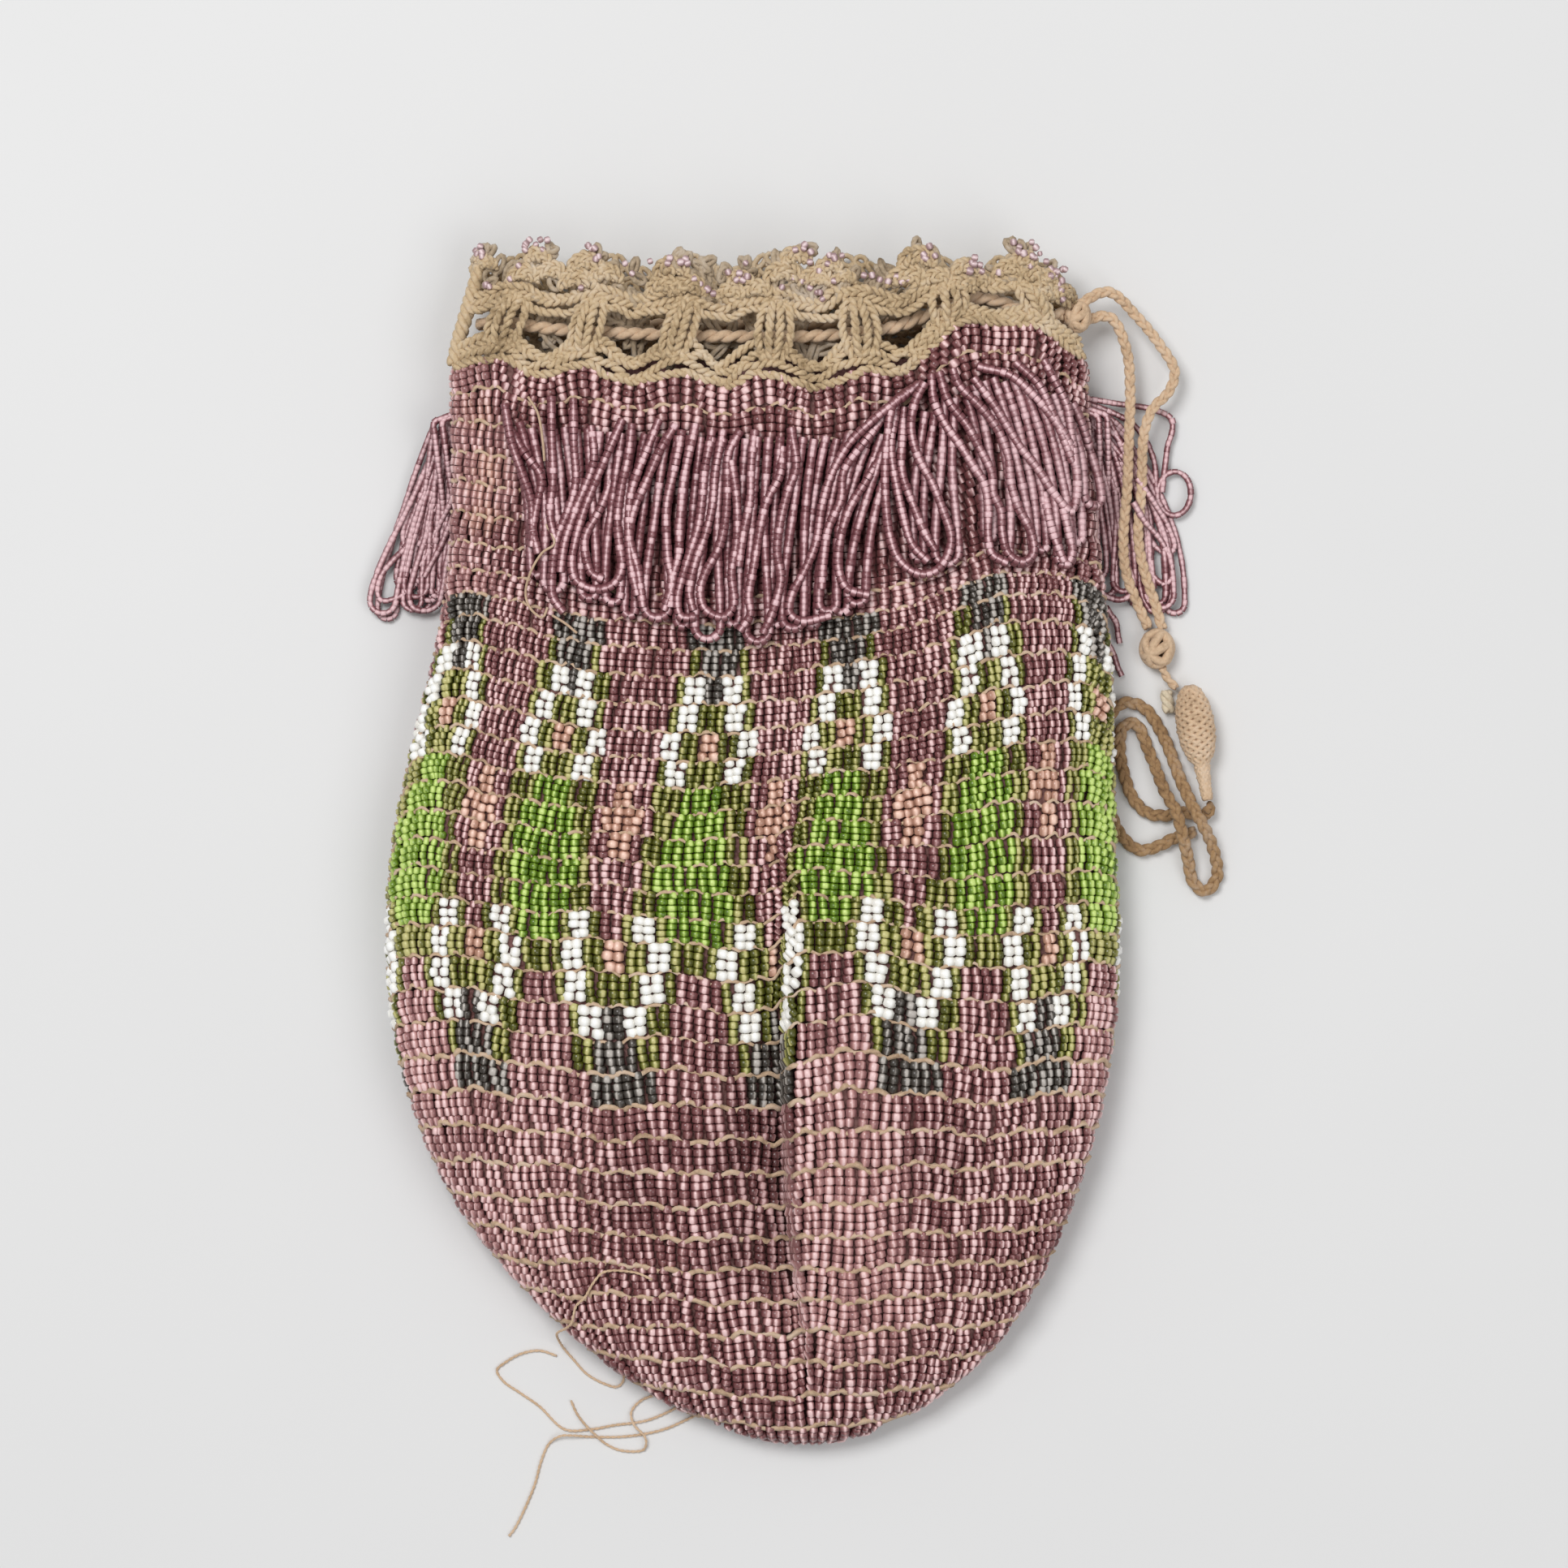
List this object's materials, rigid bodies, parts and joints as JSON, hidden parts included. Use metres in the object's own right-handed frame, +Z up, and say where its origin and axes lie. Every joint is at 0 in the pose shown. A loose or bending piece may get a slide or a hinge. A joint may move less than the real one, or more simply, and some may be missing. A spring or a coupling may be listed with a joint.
{
  "type": "beaded drawstring bag",
  "caption": "Flat beaded drawstring bag with rows of bead strands, a looped bead fringe, a crocheted eyelet heading and a cord with a ball tassel.",
  "frame": {"origin": "on the table under the middle of the bag, lace and fringe, measured without the free cords", "axes": "+X to the right of the bag's front, +Y towards its mouth, +Z up off the table, out of its front"},
  "size_m": [0.148, 0.2223, 0.0212],
  "materials": {
    "beadwork": "plum glass seed beads in rows",
    "bead_strand": "plum glass seed beads on thread",
    "crochet": "tan crochet cotton",
    "drawstring": "twisted tan cord",
    "pull_cord": "braided darker tan cord",
    "ivory_cord": "ivory cord stub",
    "woven_ball": "woven cord ball",
    "thread": "broken sewing thread"
  },
  "bodies": {
    "root": {"beaded_bag": "beadwork", "lace_header": "crochet", "drawstring_run": "drawstring", "drawstring_tail_outer": "drawstring", "drawstring_tail_inner": "drawstring", "drawstring_knot": "drawstring", "tassel_link": "drawstring", "cord_stub": "ivory_cord", "tassel_ball": "woven_ball", "pull_loop": "pull_cord", "loose_thread_1": "thread", "loose_thread_2": "thread", "loose_thread_3": "thread", "loose_thread_4": "thread", "fringe_front_01": "bead_strand", "fringe_front_02": "bead_strand", "fringe_front_03": "bead_strand", "fringe_front_04": "bead_strand", "fringe_front_05": "bead_strand", "fringe_front_06": "bead_strand", "fringe_front_07": "bead_strand", "fringe_front_08": "bead_strand", "fringe_front_09": "bead_strand", "fringe_front_10": "bead_strand", "fringe_front_11": "bead_strand", "fringe_front_12": "bead_strand", "fringe_front_13": "bead_strand", "fringe_front_14": "bead_strand", "fringe_front_15": "bead_strand", "fringe_front_16": "bead_strand", "fringe_front_17": "bead_strand", "fringe_front_18": "bead_strand", "fringe_fan_01": "bead_strand", "fringe_fan_02": "bead_strand", "fringe_fan_03": "bead_strand", "fringe_fan_04": "bead_strand", "fringe_fan_05": "bead_strand", "fringe_fan_06": "bead_strand", "fringe_fan_07": "bead_strand", "fringe_fan_08": "bead_strand", "fringe_left_01": "bead_strand", "fringe_left_02": "bead_strand", "fringe_left_03": "bead_strand", "fringe_right_01": "bead_strand", "fringe_right_02": "bead_strand", "fringe_right_03": "bead_strand", "fringe_back_01": "bead_strand", "fringe_back_02": "bead_strand", "fringe_back_03": "bead_strand", "fringe_back_04": "bead_strand", "fringe_back_05": "bead_strand", "fringe_back_06": "bead_strand", "fringe_back_07": "bead_strand", "fringe_back_08": "bead_strand"}
  },
  "joints": []
}
